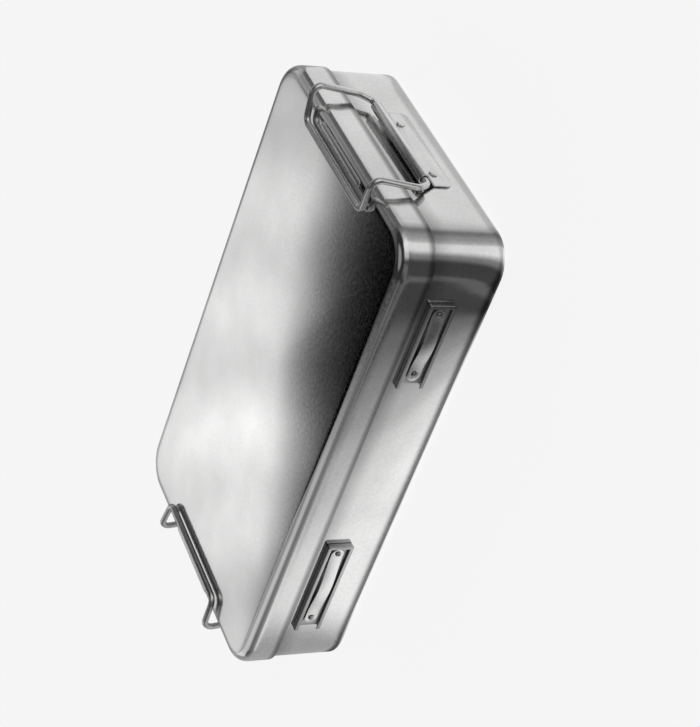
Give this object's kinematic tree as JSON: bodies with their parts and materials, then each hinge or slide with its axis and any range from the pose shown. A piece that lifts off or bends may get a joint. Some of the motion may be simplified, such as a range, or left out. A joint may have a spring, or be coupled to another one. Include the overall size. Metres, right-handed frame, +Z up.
{
  "type": "instrument case",
  "caption": "Stainless steel instrument case with a perforated base, a lift-off lid, wire bails at both ends and label holders on the front.",
  "frame": {"origin": "centre of the flat underside, on the plain strip between the two perforated fields", "axes": "+X along the length to the right-hand bail, +Y from the label holders' side to the back, +Z up"},
  "size_m": [0.3216, 0.1755, 0.0664],
  "materials": {
    "satin_steel": "satin",
    "wire_steel": "drawn and polished",
    "filter_paper": "matte"
  },
  "bodies": {
    "case": {"base_shell": "satin_steel", "filter_paper": "filter_paper", "bail_plate_right": "satin_steel", "bail_plate_left": "satin_steel", "bail_rivet_right_front": "satin_steel", "bail_rivet_right_back": "satin_steel", "bail_rivet_left_front": "satin_steel", "bail_rivet_left_back": "satin_steel", "label_frame_right": "satin_steel", "label_frame_left": "satin_steel", "label_spring_right": "satin_steel", "label_spring_left": "satin_steel", "label_rivet_right_open": "satin_steel", "label_rivet_right_closed": "satin_steel", "label_rivet_left_open": "satin_steel", "label_rivet_left_closed": "satin_steel"},
    "lid": {"lid_shell": "satin_steel", "catch_strip_right": "satin_steel", "catch_strip_left": "satin_steel"},
    "right_bail": {"bail_right": "wire_steel"},
    "left_bail": {"bail_left": "wire_steel"},
    "filter_holder": {"filter_plate": "satin_steel", "filter_tab_right": "satin_steel", "filter_tab_left": "satin_steel"}
  },
  "joints": [
    {"name": "lid_lift", "type": "slide", "parent": "case", "child": "lid", "axis": [0, 0, 1], "range_m": [0, 0.021]},
    {"name": "right_bail_turn", "type": "hinge", "parent": "case", "child": "right_bail", "pos_m": [0.1546, 0, 0.0307], "axis": [0, 1, 0], "range_deg": [0, 140]},
    {"name": "left_bail_turn", "type": "hinge", "parent": "case", "child": "left_bail", "pos_m": [-0.1546, 0, 0.0307], "axis": [0, -1, 0], "range_deg": [0, 140]},
    {"name": "filter_plate_lift", "type": "slide", "parent": "case", "child": "filter_holder", "axis": [0, 0, 1], "range_m": [0, 0.04]}
  ],
  "couplings": [
    {"joint": "right_bail_turn", "follows": "lid_lift", "rad_per_m": 116},
    {"joint": "left_bail_turn", "follows": "lid_lift", "rad_per_m": 116}
  ]
}
